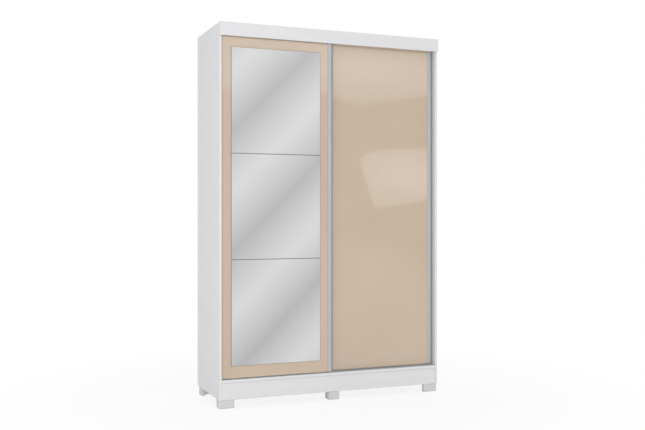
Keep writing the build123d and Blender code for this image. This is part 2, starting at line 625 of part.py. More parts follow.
# Doors: each with its panel, handle profile, guide shoes, roller housings, axles and wheels
for door, (left, right, face) in DOORS.items():
    lane = face + DOOR_BOARD / 2
    panel_right = right - HANDLE_EDGE
    rollers = {"left": left + ROLLER_INSET, "right": panel_right - ROLLER_INSET}
    shoes = {"left": left + SHOE_INSET, "right": panel_right - SHOE_INSET}
    pocket_width = (lane - HOUSING_WIDTH / 2, lane + HOUSING_WIDTH / 2)
    pocket_top = WHEEL_Z + HOUSING_REACH

    with BuildPart() as door_panel:
        block((left, panel_right), (face, face + DOOR_BOARD), (DOOR_BOTTOM, DOOR_TOP))
        chamfer(door_panel.edges().filter_by(Axis.Z).group_by(Axis.X)[0], ARRIS)
        for x in rollers.values():
            pocket = (x - HOUSING_REACH, x + HOUSING_REACH)
            block(pocket, pocket_width, (DOOR_BOTTOM, pocket_top), Mode.SUBTRACT)
        with Locations(*[(x, lane, DOOR_TOP) for x in shoes.values()]):
            Hole(SHOE_PEG_RADIUS, SHOE_PEG_LENGTH)
    save(door_panel, f"{door}_panel")

    with BuildPart() as door_handle:
        with BuildSketch(Plane.XY.offset(DOOR_BOTTOM)):
            start = right - HANDLE_WIDTH
            front = face - HANDLE_WALL
            groove_left = start + HANDLE_FACE
            floor = front + GROOVE_DEPTH
            with BuildLine():
                Polyline(
                    (start, front),
                    (groove_left, front),
                    (groove_left, floor),
                    (right - HANDLE_WALL, floor),
                    (right - HANDLE_WALL, front + GROOVE_LIP),
                    (right, front + GROOVE_LIP),
                    (right, floor + HANDLE_WALL),
                    (groove_left, floor + HANDLE_WALL),
                    (groove_left, front + HANDLE_DEPTH),
                    (panel_right - HANDLE_BACK_LIP, front + HANDLE_DEPTH),
                    (panel_right - HANDLE_BACK_LIP, face + DOOR_BOARD),
                    (panel_right, face + DOOR_BOARD),
                    (panel_right, face),
                    (start, face),
                    close=True,
                )
            make_face()
        extrude(amount=DOOR_TOP - DOOR_BOTTOM)
    save(door_handle, f"{door}_handle")

    for hand, x in shoes.items():
        with BuildPart() as guide_shoe:
            shoe_top = CHANNEL_ROOF - SHOE_HEADROOM
            with BuildSketch(Plane.XY.offset(DOOR_TOP)):
                with Locations((x, lane)):
                    Rectangle(SHOE_LENGTH, SHOE_WIDTH)
            extrude(amount=shoe_top - DOOR_TOP)
            fillet(guide_shoe.edges().filter_by(Axis.Z), SHOE_ROUND)
            with BuildSketch(Plane.XY.offset(DOOR_TOP)):
                with Locations((x, lane)):
                    RectangleRounded(SHOE_LENGTH + 2 * SHOE_PAD, DOOR_BOARD, SHOE_ROUND)
            extrude(amount=SHOE_PAD)
            with Locations((x, lane, DOOR_TOP)):
                Cylinder(SHOE_PEG_RADIUS, SHOE_PEG_LENGTH, align=SEATED)
        save(guide_shoe, f"{door}_{hand}_guide_shoe")

    for hand, x in rollers.items():
        axle_plane = Plane((x, pocket_width[1], WHEEL_Z), z_dir=(0, 1, 0))
        with BuildPart() as roller_housing:
            block((x - HOUSING_REACH, x + HOUSING_REACH), pocket_width, (DOOR_BOTTOM, pocket_top))
            cavity_half = WHEEL_WIDTH / 2 + WHEEL_PLAY
            block(
                (x - HOUSING_CAVITY, x + HOUSING_CAVITY),
                (lane - cavity_half, lane + cavity_half),
                (DOOR_BOTTOM, WHEEL_Z + HOUSING_CAVITY),
                Mode.SUBTRACT,
            )
            with Locations(axle_plane):
                Hole(AXLE_RADIUS, HOUSING_WIDTH)
        save(roller_housing, f"{door}_{hand}_roller_housing")

        with BuildPart() as wheel:
            with BuildSketch(Plane((x, lane, WHEEL_Z))):
                half = WHEEL_WIDTH / 2
                groove_half = RAIL_WIDTH / 2 + RUN_GAP
                bore = AXLE_RADIUS + AXLE_CLEARANCE
                with BuildLine():
                    Polyline(
                        (bore, -half),
                        (WHEEL_OUTER, -half),
                        (WHEEL_OUTER, -groove_half - WHEEL_TAPER),
                        (WHEEL_RADIUS, -groove_half),
                        (WHEEL_RADIUS, groove_half),
                        (WHEEL_OUTER, groove_half + WHEEL_TAPER),
                        (WHEEL_OUTER, half),
                        (bore, half),
                        close=True,
                    )
                make_face()
            revolve(axis=Axis((x, lane, WHEEL_Z), (0, 1, 0)))
        save(wheel, f"{door}_{hand}_wheel")

    with BuildPart() as axles:
        points = [(x, pocket_width[1], WHEEL_Z) for x in rollers.values()]
        with Locations(*facing(points, (0, 1, 0))):
            Cylinder(AXLE_RADIUS, HOUSING_WIDTH, align=SEATED)
    save(axles, f"{door}_axles")

# Mirror panes, one over the other on the face of the left door
left, right, face = DOORS["left_door"]
mirror_left = left + MIRROR_EDGE_MARGIN
mirror_right = right - HANDLE_WIDTH - MIRROR_HANDLE_MARGIN
mirror_bottom = DOOR_BOTTOM + MIRROR_END_MARGIN
mirror_height = DOOR_TOP - MIRROR_END_MARGIN - mirror_bottom
pane_height = (mirror_height - (MIRROR_COUNT - 1) * MIRROR_SEAM) / MIRROR_COUNT
for number in range(MIRROR_COUNT):
    pane_bottom = mirror_bottom + number * (pane_height + MIRROR_SEAM)
    pane_top = pane_bottom + pane_height
    with BuildPart() as pane:
        block((mirror_left, mirror_right), (face - MIRROR_GLASS, face), (pane_bottom, pane_top))
        chamfer(pane.faces().sort_by(Axis.Y)[0].edges(), MIRROR_BEVEL)
    save(pane, f"mirror_pane_{number + 1}")
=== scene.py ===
# %% [markdown]
# # A wardrobe with two sliding doors
# The boards, doors, tracks and rollers come from the construction model, where each piece already has its
# real size and its real place. This lesson gives every piece its finish, adds the small fittings that a
# construction drawing leaves plain, and sets up the studio around the wardrobe.

# %% Load the construction model
import json
import math

import bmesh
import bpy
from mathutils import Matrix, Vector


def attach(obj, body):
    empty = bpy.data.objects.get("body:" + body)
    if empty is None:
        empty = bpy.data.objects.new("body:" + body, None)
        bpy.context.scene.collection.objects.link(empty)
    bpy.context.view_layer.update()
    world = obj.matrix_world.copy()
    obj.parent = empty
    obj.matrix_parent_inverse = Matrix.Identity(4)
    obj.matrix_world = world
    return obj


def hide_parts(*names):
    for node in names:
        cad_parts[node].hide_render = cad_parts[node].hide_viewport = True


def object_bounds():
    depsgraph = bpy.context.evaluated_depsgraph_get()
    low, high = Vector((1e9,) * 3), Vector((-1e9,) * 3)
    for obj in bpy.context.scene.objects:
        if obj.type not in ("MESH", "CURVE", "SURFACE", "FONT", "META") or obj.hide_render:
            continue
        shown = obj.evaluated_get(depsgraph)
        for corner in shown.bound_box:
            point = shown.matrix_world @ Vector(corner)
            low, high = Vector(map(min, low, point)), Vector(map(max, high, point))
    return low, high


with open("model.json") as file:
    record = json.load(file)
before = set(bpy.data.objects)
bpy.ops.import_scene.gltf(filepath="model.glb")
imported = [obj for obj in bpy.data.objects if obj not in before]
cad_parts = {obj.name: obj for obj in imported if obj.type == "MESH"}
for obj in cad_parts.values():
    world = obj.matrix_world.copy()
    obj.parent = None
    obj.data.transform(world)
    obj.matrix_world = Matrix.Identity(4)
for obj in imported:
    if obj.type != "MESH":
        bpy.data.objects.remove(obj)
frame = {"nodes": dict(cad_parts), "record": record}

scene = bpy.context.scene
nodes = frame["nodes"]
cad_corners = [list(corner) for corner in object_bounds()]
print(len(nodes), "nodes, from", cad_corners[0], "to", cad_corners[1])

# %% [markdown]
# ## Camera
# The photograph was taken from the left of the wardrobe, at about half its height, with the camera level,
# so that upright edges stay parallel. A camera that is turned only about the upright axis keeps them so,
# and the distance and the lens set how fast the cornice and the plinth run together.

# %% Camera
SENSOR_WIDTH = 36.0
LENS = 49.46
CAMERA_PLACE = (-2.18832, -5.46610, 1.17826)
CAMERA_LEVEL = math.radians(90)
CAMERA_TURN = math.radians(-22.082)

camera_data = bpy.data.cameras.new("studio_camera")
camera_data.sensor_width = SENSOR_WIDTH
camera_data.lens = LENS
camera = bpy.data.objects.new("studio_camera", camera_data)
camera.location = CAMERA_PLACE
camera.rotation_euler = (CAMERA_LEVEL, 0, CAMERA_TURN)
scene.collection.objects.link(camera)
scene.camera = camera
scene.view_settings.view_transform = "Standard"
print("camera at", CAMERA_PLACE, "with a lens of", LENS, "mm")

# %% [markdown]
# ## Shader nodes in short
# A material is a tree of nodes. Writing every node out takes many lines, so one helper adds a node, sets
# its properties, and fills its sockets with values or with the outputs of other nodes. A second helper
# does the same for the arithmetic node, which is the one that is needed most.


# %% Helpers for shader nodes
def put(tree, kind, sockets=None, **properties):
    """Add a node, set its properties, and fill its sockets with values or other nodes' outputs."""
    made = tree.nodes.new(kind)
    for name, value in properties.items():
        setattr(made, name, value)
    for key, value in (sockets or {}).items():
        if isinstance(value, bpy.types.NodeSocket):
            tree.links.new(value, made.inputs[key])
        else:
            made.inputs[key].default_value = value
    return made


def maths(tree, operation, *terms):
    """The output of one arithmetic node on one, two or three terms."""
    return put(tree, "ShaderNodeMath", dict(enumerate(terms)), operation=operation).outputs[0]


def fresh_tree(owner):
    """The emptied node tree of a material or a world."""
    owner.use_nodes = True
    owner.node_tree.nodes.clear()
    return owner.node_tree


print("helpers: put, maths, fresh_tree")

# %% [markdown]
# ## World
# The backdrop is plain white, and the same white lights the wardrobe softly from all sides. A mirror in a
# white room would be a white rectangle, so studios hang long strips of cloth at a slant where the mirror
# looks. Here the world does that: rays that leave a shiny surface meet broad grey bands at 45 degrees. The
# bands are a ping-pong of the ray's rise less its run, so they stay straight on a flat mirror.

# %% World
PURE_WHITE = (1, 1, 1, 1)
AMBIENT = 0.59
BAND_PERIOD = 0.1431
BAND_CENTRE = 0.0212
BAND_BRIGHT = 0.757
BAND_DROP = 0.228
BAND_CURVE = 1.23
BAND_TREND = 0.12
SHALLOWEST = 0.2

world = bpy.data.worlds.new("white_studio")
scene.world = world
tree = fresh_tree(world)
ray = put(tree, "ShaderNodeLightPath").outputs
direction = put(tree, "ShaderNodeTexCoord").outputs["Generated"]
way = put(tree, "ShaderNodeSeparateXYZ", {0: direction}).outputs
depth = maths(tree, "MAXIMUM", maths(tree, "ABSOLUTE", way["Y"]), SHALLOWEST)
rise = maths(tree, "DIVIDE", way["Z"], depth)
slant = maths(tree, "SUBTRACT", rise, maths(tree, "DIVIDE", way["X"], depth))
half_band = BAND_PERIOD / 2
from_bright = maths(tree, "PINGPONG", maths(tree, "SUBTRACT", slant, BAND_CENTRE), half_band)
share = maths(tree, "POWER", maths(tree, "DIVIDE", from_bright, half_band), BAND_CURVE)
band = maths(tree, "MULTIPLY_ADD", share, -BAND_DROP, BAND_BRIGHT)
band = maths(tree, "MULTIPLY_ADD", rise, BAND_TREND, band)
soft_white = put(tree, "ShaderNodeBackground", {"Color": PURE_WHITE, "Strength": AMBIENT}).outputs[0]
grey_bands = put(tree, "ShaderNodeBackground", {"Color": band}).outputs[0]
backdrop = put(tree, "ShaderNodeBackground", {"Color": PURE_WHITE}).outputs[0]
around = put(tree, "ShaderNodeMixShader", {0: ray["Is Glossy Ray"], 1: soft_white, 2: grey_bands})
seen = maths(tree, "MAXIMUM", ray["Is Camera Ray"], ray["Is Transmission Ray"])
shown = put(tree, "ShaderNodeMixShader", {0: seen, 1: around.outputs[0], 2: backdrop})
put(tree, "ShaderNodeOutputWorld", {"Surface": shown.outputs[0]})
print("world of", len(tree.nodes), "nodes, ambient", AMBIENT)

# %% [markdown]
# ## Lamps
# Big lamps make soft light. The key lamp stands at the left in front, and a weaker one fills in from the
# right. In a white studio the walls send so much light into every recess that these two hardly throw a
# shadow, so theirs is switched off. The world and the lamp overhead shade the gaps and the floor, and a
# last lamp lights the back. Lamps would show as bright squares in the mirror, so shiny surfaces are told
# not to see them.

# %% Lamps
# Each lamp has its place, the point that it looks at, its size, its power, and whether it throws a shadow.
LAMPS = {
    "key_lamp": ((-4.2, -4.0, 1.9), (0.0, -0.2, 1.1), 2.2, 105, False),
    "fill_lamp": ((3.6, -4.4, 1.2), (0.2, -0.2, 1.0), 2.0, 46, False),
    "top_lamp": ((0.0, 0.5, 5.2), (0.0, 0.0, 0.0), 3.0, 30, True),
    "back_lamp": ((2.8, 4.6, 2.2), (0.2, 0.0, 1.1), 2.2, 60, True),
}


def hang_lamp(name, place, aim, size, power, throws_shadow):
    """A square lamp of a size in metres and a power in watts, turned towards a point."""
    data = bpy.data.lights.new(name, "AREA")
    data.size = size
    data.energy = power
    data.use_shadow = throws_shadow
    lamp = bpy.data.objects.new(name, data)
    lamp.location = place
    lamp.rotation_euler = (Vector(aim) - Vector(place)).to_track_quat("-Z", "Y").to_euler()
    lamp.visible_glossy = False
    scene.collection.objects.link(lamp)


for lamp_name, setting in LAMPS.items():
    hang_lamp(lamp_name, *setting)
print("lamps:", ", ".join(LAMPS))

# %% [markdown]
# ## Floor
# The floor is a wide disc that fades into the backdrop. Near the wardrobe a part of what the camera sees
# is plain matt white, which takes the shadow. The rest glows white, so no horizon shows. The glow is only
# for the camera, so it adds no light of its own to the boards.

# %% Floor
FLOOR_RADIUS = 9.0
FLOOR_SIDES = 96
FLOOR_WHITE = (0.93, 0.93, 0.93, 1)
SHADOW_SHARE = 0.15
SHADOW_FADE = (0.9, 2.4)


def close_mesh(bm, name):
    """Turn a finished bmesh into an object of that name, and put it into the scene."""
    mesh = bpy.data.meshes.new(name)
    bm.to_mesh(mesh)
    bm.free()
    made = bpy.data.objects.new(name, mesh)
    scene.collection.objects.link(made)
    return made


def vectors(tree, operation, *terms):
    """The outputs of one vector arithmetic node on one or two terms."""
    return put(tree, "ShaderNodeVectorMath", dict(enumerate(terms)), operation=operation).outputs


def spread(tree, value, source, target, course="LINEAR"):
    """A value taken from a source range to a target range, and held at the ends."""
    ends = dict(enumerate((value, *source, *target)))
    return put(tree, "ShaderNodeMapRange", ends, interpolation_type=course).outputs[0]


bm = bmesh.new()
bmesh.ops.create_circle(bm, cap_ends=True, segments=FLOOR_SIDES, radius=FLOOR_RADIUS)
floor = close_mesh(bm, "studio_floor")
floor.visible_glossy = False

floor_paint = bpy.data.materials.new("floor_paint")
tree = fresh_tree(floor_paint)
place = put(tree, "ShaderNodeTexCoord").outputs["Object"]
reach = vectors(tree, "LENGTH", place)["Value"]
shadow = spread(tree, reach, SHADOW_FADE, (SHADOW_SHARE, 0.0), "SMOOTHSTEP")
glow = maths(tree, "SUBTRACT", 1.0, shadow)
glow = maths(tree, "MULTIPLY", glow, put(tree, "ShaderNodeLightPath").outputs["Is Camera Ray"])
matt = put(tree, "ShaderNodeBsdfDiffuse", {"Color": FLOOR_WHITE})
white = put(tree, "ShaderNodeEmission", {"Color": PURE_WHITE, "Strength": 1.0})
mixed = put(tree, "ShaderNodeMixShader", {0: glow, 1: matt.outputs[0], 2: white.outputs[0]})
put(tree, "ShaderNodeOutputMaterial", {"Surface": mixed.outputs[0]})
floor.data.materials.append(floor_paint)
print("floor of radius", FLOOR_RADIUS)

# %% [markdown]
# ## Reflectors for the gloss doors
# High-gloss lacquer shows where the light boxes hang. The photograph has three: a broad one whose image
# lies over the top of both doors, a smaller one at half height of the right door, and a faint low one that
# lifts the lower half of both.
# Each is a flat card, drawn from a few corner points and bevelled at the corners. A light box is brightest
# in the middle, so the glow fades from a bright spot to the rim. The card adds its glow to whatever lies
# behind it. A mirror would show the cards as hard white shapes wherever the door stands, so light linking
# keeps them for the two lacquered doors, as a photographer would flag them off from the glass.

# %% Reflector cards
# The glow goes from its first to its second value between the two fade distances from the spot. Outlines
# and spots are X and Z in metres, on an upright plane in front of the wardrobe.
CARD_PLANE = -4.2
CARD_CORNER_STEPS = 5
CARDS = {
    "broad_reflector": {
        "glow": (2.7, 1.43),
        "spot": (2.20, 2.86),
        "fade": (0.0, 0.36),
        "squeeze": 0.25,
        "rounding": 0.012,
        "outline": [
            (0.05, 3.60), (0.05, 2.53), (1.50, 2.545), (1.66, 2.52), (1.91, 2.452), (2.21, 2.463),
            (2.52, 2.525), (2.90, 2.58), (3.40, 2.64), (3.40, 3.60),
        ],
    },
    "small_reflector": {
        "glow": (2.92, 1.78),
        "spot": (2.60, 1.64),
        "fade": (0.0, 0.34),
        "squeeze": 0.57,
        "rounding": 0.04,
        "outline": [
            (2.02, 1.75), (2.04, 1.84), (2.10, 1.885), (2.21, 1.91), (2.42, 1.94), (3.22, 1.98),
            (3.22, 1.39), (2.88, 1.36), (2.52, 1.297), (2.20, 1.252),
        ],
    },
    "low_reflector": {
        "glow": (0.7, 0.0),
        "spot": (1.46, -2.07),
        "fade": (2.85, 3.12),
        "squeeze": 1.0,
        "rounding": 0.05,
        "outline": [(0.48, 1.20), (1.70, 1.20), (3.40, 0.75), (3.40, -0.90), (0.48, -0.90)],
    },
}
HIDDEN_FROM = ("camera", "diffuse", "transmission", "shadow", "volume_scatter")


def card_glow(tree, glow, spot, fade, squeeze):
    """A glow that falls from the bright spot to the rim, slower along the card's width if squeezed."""
    place = put(tree, "ShaderNodeTexCoord").outputs["Object"]
    offset = vectors(tree, "SUBTRACT", place, (spot[0], CARD_PLANE, spot[1]))["Vector"]
    offset = vectors(tree, "MULTIPLY", offset, (squeeze, 1, 1))["Vector"]
    reach = vectors(tree, "LENGTH", offset)["Value"]
    return spread(tree, reach, fade, glow, "SMOOTHSTEP")


def hang_card(name, outline, rounding, **light):
    """A glowing card of that outline in front of the doors, seen by shiny surfaces alone."""
    bm = bmesh.new()
    corners = [bm.verts.new((x, CARD_PLANE, z)) for x, z in outline]
    bm.faces.new(corners)
    bmesh.ops.bevel(
        bm,
        geom=corners,
        offset=rounding,
        affect="VERTICES",
        segments=CARD_CORNER_STEPS,
        profile=0.5,
        material=-1,
    )
    card = close_mesh(bm, name)
    for kind in HIDDEN_FROM:
        setattr(card, f"visible_{kind}", False)
    paint = bpy.data.materials.new(name)
    tree = fresh_tree(paint)
    strength = card_glow(tree, **light)
    glow = put(tree, "ShaderNodeEmission", {"Color": PURE_WHITE, "Strength": strength})
    behind = put(tree, "ShaderNodeBsdfTransparent")
    both = put(tree, "ShaderNodeAddShader", {0: glow.outputs[0], 1: behind.outputs[0]})
    put(tree, "ShaderNodeOutputMaterial", {"Surface": both.outputs[0]})
    card.data.materials.append(paint)
    card.light_linking.receiver_collection = gloss_doors


gloss_doors = bpy.data.collections.new("gloss_doors")
for door in ("left_door_panel", "right_door_panel"):
    gloss_doors.objects.link(nodes[door])
for card_name, setting in CARDS.items():
    hang_card(card_name, **setting)
print("cards:", ", ".join(CARDS))

# %% [markdown]
# ## Surface grain
# Hardly any real surface has one colour. Boards have faint streaks, moulded plastic is finely pitted and
# drawn metal has lines along its length. All of these are the same noise, stretched by a different amount,
# so it is built once as a node group. It puts out a tone near 1, to multiply a colour with, and a relief
# from 0 to 1 for bump and roughness. The pattern is tied to the object, so it moves with the doors.

# %% Surface grain group
GRAIN_DETAIL = 3.0
TONE_NOISE = (0.25, 0.75)

grain_group = bpy.data.node_groups.new("surface_grain", "ShaderNodeTree")
sockets = grain_group.interface
sockets.new_socket("Density", in_out="INPUT", socket_type="NodeSocketVector")
sockets.new_socket("Contrast", in_out="INPUT", socket_type="NodeSocketFloat")
sockets.new_socket("Tone", in_out="OUTPUT", socket_type="NodeSocketFloat")
sockets.new_socket("Relief", in_out="OUTPUT", socket_type="NodeSocketFloat")
inlet = put(grain_group, "NodeGroupInput").outputs
place = put(grain_group, "ShaderNodeTexCoord").outputs["Object"]
stretched = vectors(grain_group, "MULTIPLY", place, inlet["Density"])["Vector"]
pattern = {"Vector": stretched, "Scale": 1.0, "Detail": GRAIN_DETAIL}
noise = put(grain_group, "ShaderNodeTexNoise", pattern).outputs[0]
darkest = maths(grain_group, "SUBTRACT", 1.0, inlet["Contrast"])
lightest = maths(grain_group, "ADD", 1.0, inlet["Contrast"])
tone = spread(grain_group, noise, TONE_NOISE, (darkest, lightest))
put(grain_group, "NodeGroupOutput", {"Tone": tone, "Relief": noise})
print("group surface_grain with", len(grain_group.nodes), "nodes")

# %% [markdown]
# ## Painted shade in the joints
# Where two boards meet, in the corner under the cornice and in the gaps under the doors, little light
# reaches. That shade is painted into the colour, as a fine dark line that makes a joint look like a joint.
# It could be painted by hand, but the Ambient Occlusion node finds such places by itself: it looks out from
# the surface over a short reach, and says how much of the view is blocked by a neighbour. The more is
# blocked, the darker the painted shade gets.

# %% Joint painted shade group
SHADE_REACH = 0.016
SHADE_SAMPLES = 16

painted_shade_group = bpy.data.node_groups.new("joint_painted_shade", "ShaderNodeTree")
sockets = painted_shade_group.interface
sockets.new_socket("Amount", in_out="INPUT", socket_type="NodeSocketFloat")
sockets.new_socket("Tone", in_out="OUTPUT", socket_type="NodeSocketFloat")
inlet = put(painted_shade_group, "NodeGroupInput").outputs
view = put(painted_shade_group, "ShaderNodeAmbientOcclusion", {"Distance": SHADE_REACH}, samples=SHADE_SAMPLES)
# The share of the view that neighbours block becomes painted shade in the colour.
blocked = maths(painted_shade_group, "SUBTRACT", 1.0, view.outputs["AO"])
darkening = maths(painted_shade_group, "MULTIPLY", blocked, inlet["Amount"])
put(painted_shade_group, "NodeGroupOutput", {"Tone": maths(painted_shade_group, "SUBTRACT", 1.0, darkening)})
print("group joint_painted_shade reaches", SHADE_REACH, "m")

# %% [markdown]
# ## One recipe for most finishes
# A finish is a colour, a tone that varies it, painted shade in its joints, a roughness that varies with the
# same grain, and a bump. The recipe takes these as plain numbers: streaks and pits as a density and a
# contrast, the roughness as a range, the bump as a depth in metres. Whatever is the same all over the
# piece, such as how metallic it is, goes straight onto the shader's own socket.

# %% Finish recipe
# The mix node has number, vector and colour sockets of the same names, so the colour ones go by index.
MIX_SHARE, MIX_FIRST, MIX_SECOND, MIX_RESULT = 0, 6, 7, 2
RELIEF_NOISE = (0.2, 0.8)


def grain(tree, density, contrast):
    """The outputs of the grain group at a density in grains per metre along X, Y and Z."""
    return put(
        tree, "ShaderNodeGroup", {"Density": density, "Contrast": contrast}, node_tree=grain_group
    ).outputs


def mixed_colour(tree, share, first, second, blend="MIX"):
    """A colour between a first and a second one, or the first blended with the second."""
    colours = {MIX_SHARE: share, MIX_FIRST: first, MIX_SECOND: second}
    return put(tree, "ShaderNodeMix", colours, data_type="RGBA", blend_type=blend).outputs[MIX_RESULT]


def tinted(tree, colour, tone):
    """A colour multiplied by a tone."""
    return mixed_colour(tree, 1.0, (*colour, 1), tone, "MULTIPLY")


def make_finish(name, colour, streaks, pits, painted_shade, roughness, bump, **plain):
    """A finish with long streaks and fine pits, painted shade in its joints, a roughness range and a bump.
    """
    paint = bpy.data.materials.new(name)
    tree = fresh_tree(paint)
    long_grain = grain(tree, *streaks)
    fine_grain = grain(tree, *pits)
    # This tone is painted shade: it darkens the colour where neighbours hide the light.
    painted_shade_tone = put(tree, "ShaderNodeGroup", {"Amount": painted_shade}, node_tree=painted_shade_group).outputs["Tone"]
    tone = maths(tree, "MULTIPLY", long_grain["Tone"], fine_grain["Tone"])
    tone = maths(tree, "MULTIPLY", tone, painted_shade_tone)
    raised = {"Height": fine_grain["Relief"], "Distance": bump, "Strength": 1.0}
    shader = put(
        tree,
        "ShaderNodeBsdfPrincipled",
        {
            "Base Color": tinted(tree, colour, tone),
            "Roughness": spread(tree, long_grain["Relief"], RELIEF_NOISE, roughness),
            "Normal": put(tree, "ShaderNodeBump", raised).outputs[0],
            **plain,
        },
    )
    put(tree, "ShaderNodeOutputMaterial", {"Surface": shader.outputs[0]})
    return paint


def even(density):
    """The same density along all three axes."""
    return (density, density, density)


def along(axis, across_density, along_density):
    """A density with streaks that run along one axis."""
    return tuple(along_density if axis == name else across_density for name in "XYZ")


print("recipe ready")

# %% [markdown]
# ## White boards
# The carcass is chipboard faced with white melamine paper. Close up, the paper has faint streaks in the
# direction of the board's length and a very fine pearl. The streaks run upright on the sides and the
# partition, and level on every other board, so two finishes are made with the same numbers.

# %% White boards
WHITE = (0.775, 0.775, 0.79)
white_boards = {
    axis: make_finish(
        f"white_melamine_{word}",
        WHITE,
        streaks=(along(axis, 130, 2.5), 0.014),
        pits=(even(900), 0.006),
        # Painted shade darkens the colour where boards meet and under overhangs.
        painted_shade=0.45,
        roughness=(0.38, 0.50),
        bump=0.00002,
    )
    for axis, word in (("X", "level"), ("Z", "upright"))
}
print([paint.name for paint in white_boards.values()])

# %% [markdown]
# ## Beige gloss lacquer
# The doors are sprayed with several coats and polished, so they mirror the light boxes. What gives real
# lacquer away is orange peel: very shallow waves about a centimetre long that soften the edges of every
# reflection. Slow streaks in the colour are hardly visible, and the roughness stays low.

# %% Beige lacquer
BEIGE = (0.577, 0.457, 0.350)
beige_lacquer = make_finish(
    "beige_gloss_lacquer",
    BEIGE,
    streaks=(even(3.0), 0.012),
    pits=(even(75), 0.004),
    # The doors take the strongest painted shade: the dark band under the cornice and the line above the
    # tracks.
    painted_shade=0.85,
    roughness=(0.035, 0.05),
    bump=0.000006,
)
print(beige_lacquer.name)

# %% [markdown]
# ## Silvered glass
# A mirror is a metal film behind glass. From the front only the film matters, so the shader is metallic
# and nearly smooth, with a trace of haze. The ground edges show the glass from its side, which is a dark
# grey-green. The direction that a face looks in tells the two apart: the film looks straight forward.

# %% Silvered glass
FILM = (0.925, 0.928, 0.926)
FILM_ROUGHNESS = (0.015, 0.03)
HAZE_DENSITY = 6.0
HAZE_CONTRAST = 0.004
GLASS_EDGE = (0.16, 0.19, 0.17, 1)
FORWARD_LIMIT = -0.9


def looks_forward(tree):
    """1 where a face looks to the front of the wardrobe, which is towards -Y, and 0 elsewhere."""
    normal = put(tree, "ShaderNodeNewGeometry").outputs["Normal"]
    parts = put(tree, "ShaderNodeSeparateXYZ", {0: normal}).outputs
    return maths(tree, "LESS_THAN", parts["Y"], FORWARD_LIMIT)


silvered_glass = bpy.data.materials.new("silvered_glass")
tree = fresh_tree(silvered_glass)
film = looks_forward(tree)
haze = grain(tree, even(HAZE_DENSITY), HAZE_CONTRAST)
shader = put(
    tree,
    "ShaderNodeBsdfPrincipled",
    {
        "Base Color": mixed_colour(tree, film, GLASS_EDGE, tinted(tree, FILM, haze["Tone"])),
        "Metallic": film,
        "Roughness": spread(tree, haze["Relief"], RELIEF_NOISE, FILM_ROUGHNESS),
    },
)
put(tree, "ShaderNodeOutputMaterial", {"Surface": shader.outputs[0]})
print(silvered_glass.name)

# %% [markdown]
# ## Metals
# The handle profiles, tracks and hanging rails are drawn through a die and then anodised. The die leaves
# fine lines along the length, and the anodising makes them satin and less metallic than bare metal. The
# level profiles lie in the shade under the doors, so they get more painted shade than the upright handles.
# Screws, brackets and cams are zinc plated steel, which has a mottled, slightly blue shine.

# %% Metals
HANDLE_GREY = (0.65, 0.65, 0.66)
TRACK_GREY = (0.70, 0.70, 0.71)
# How much painted shade the handles and the tracks take in their joints.
HANDLE_SHADE = 0.2
TRACK_SHADE = 0.5
ZINC = (0.62, 0.63, 0.65)
profile_looks = {
    "X": ("level", TRACK_GREY, TRACK_SHADE),
    "Z": ("upright", HANDLE_GREY, HANDLE_SHADE),
}
drawn_profiles = {
    axis: make_finish(
        f"satin_profile_{word}",
        grey,
        streaks=(along(axis, 1500, 2.0), 0.03),
        pits=(along(axis, 2500, 6.0), 0.01),
        painted_shade=amount,
        roughness=(0.44, 0.56),
        bump=0.000004,
        Metallic=0.6,
    )
    for axis, (word, grey, amount) in profile_looks.items()
}
zinc_steel = make_finish(
    "zinc_plated_steel",
    ZINC,
    streaks=(even(220), 0.08),
    pits=(even(1500), 0.03),
    # A little painted shade where the steel parts meet their neighbours.
    painted_shade=0.2,
    roughness=(0.28, 0.45),
    bump=0.00001,
    Metallic=1.0,
)
print([paint.name for paint in drawn_profiles.values()], zinc_steel.name)

# %% [markdown]
# ## Plastics and rubber
# Moulded parts take the fine spark texture of their mould, so they are matt and evenly pitted. They differ
# in colour, in how even that colour is and in how dull the mould leaves them, so one loop makes them all.
# The wheels are milky nylon and the bump stops are pale soft rubber.

# %% Plastics and rubber
moulded = {
    "foot_plastic": ((0.675, 0.675, 0.685), 0.010, (0.42, 0.52)),
    "white_plastic": ((0.74, 0.74, 0.74), 0.010, (0.35, 0.45)),
    "grey_plastic": ((0.23, 0.23, 0.24), 0.030, (0.40, 0.52)),
    "nylon": ((0.66, 0.65, 0.60), 0.020, (0.30, 0.40)),
    "rubber": ((0.60, 0.60, 0.59), 0.030, (0.50, 0.65)),
}
finishes = {
    slot: make_finish(
        f"moulded_{slot}",
        colour,
        streaks=(even(25), contrast),
        pits=(even(1400), contrast),
        # A little painted shade where the moulded parts meet their neighbours.
        painted_shade=0.1,
        roughness=dullness,
        bump=0.00004,
    )
    for slot, (colour, contrast, dullness) in moulded.items()
}
finishes["beige_lacquer"] = beige_lacquer
finishes["mirror"] = silvered_glass
finishes["steel"] = zinc_steel
print(sorted(finishes))

# %% [markdown]
# ## Hardboard
# The back is thin hardboard: wood fibres pressed flat in all directions. Its inner side is sprayed white
# to match the boards, and its outer side is left raw, brown and mottled, since it stands against a wall.
# Which way a face looks tells the two sides apart, as it did for the mirror.

# %% Hardboard
SPRAYED = (0.70, 0.70, 0.69)
RAW_FIBRE = (0.335, 0.222, 0.135)
RAW_ROUGHNESS = (0.66, 0.80)
SPRAY_SMOOTHING = 0.2
FIBRE_BUMP = 0.00006

